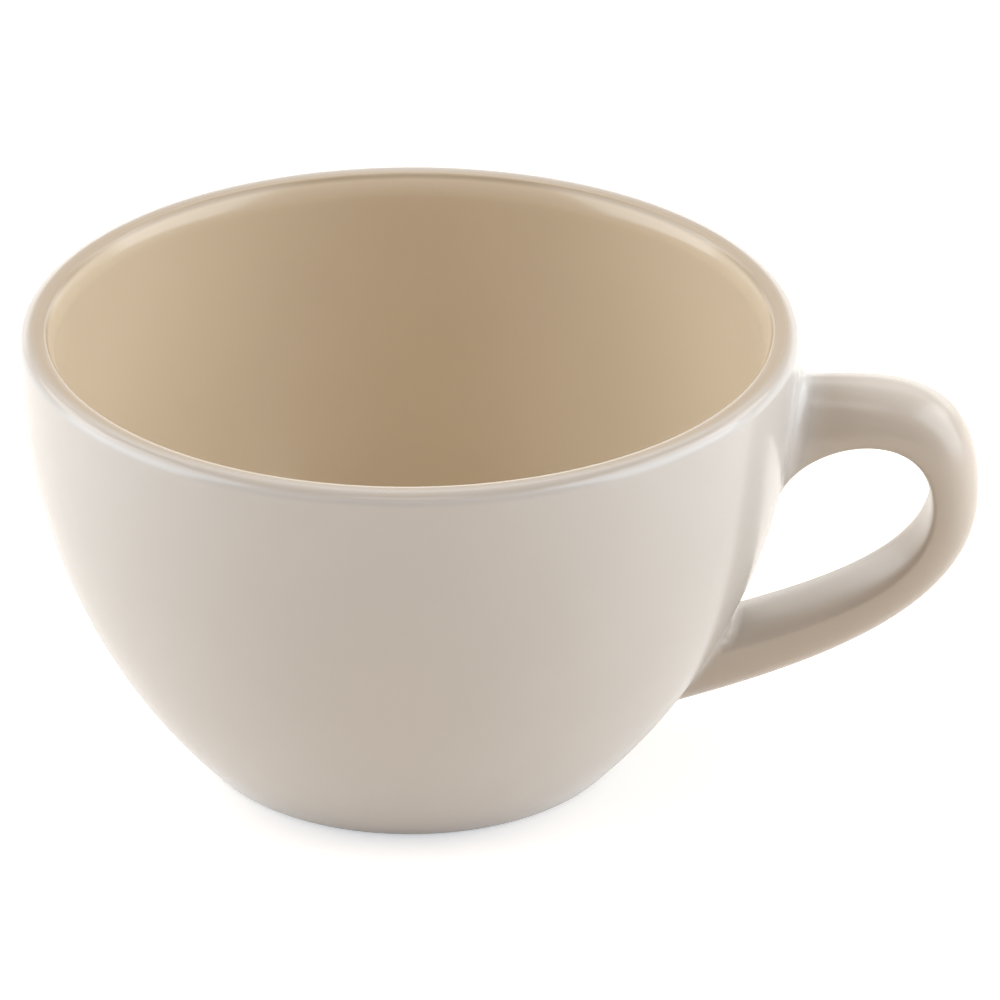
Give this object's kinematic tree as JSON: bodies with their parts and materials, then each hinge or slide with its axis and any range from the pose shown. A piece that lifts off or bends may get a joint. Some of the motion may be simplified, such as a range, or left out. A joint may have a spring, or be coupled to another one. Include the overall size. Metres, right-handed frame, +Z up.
{
  "type": "cup",
  "caption": "Wide low cup for hot drinks: curved two-layer wall, off-white outside and beige inside, ear handle stuck on with coved joints, recessed foot ring.",
  "frame": {"origin": "middle of the footprint, handle included, on the standing plane; the bowl's axis is 12.3 mm from it towards -X", "axes": "+Z up along the bowl's axis, +X from the bowl towards the handle"},
  "size_m": [0.1296, 0.105, 0.063],
  "materials": {
    "off_white_glaze": "gloss glaze over a warm off-white body, bare on the standing ring",
    "beige_glaze": "gloss glaze over a beige body",
    "joint_glaze": "gloss glaze pooled over the joining clay"
  },
  "bodies": {
    "root": {"outer_shell": "off_white_glaze", "inner_liner": "beige_glaze", "handle": "off_white_glaze", "upper_slip_joint": "joint_glaze", "lower_slip_joint": "joint_glaze"}
  },
  "joints": []
}
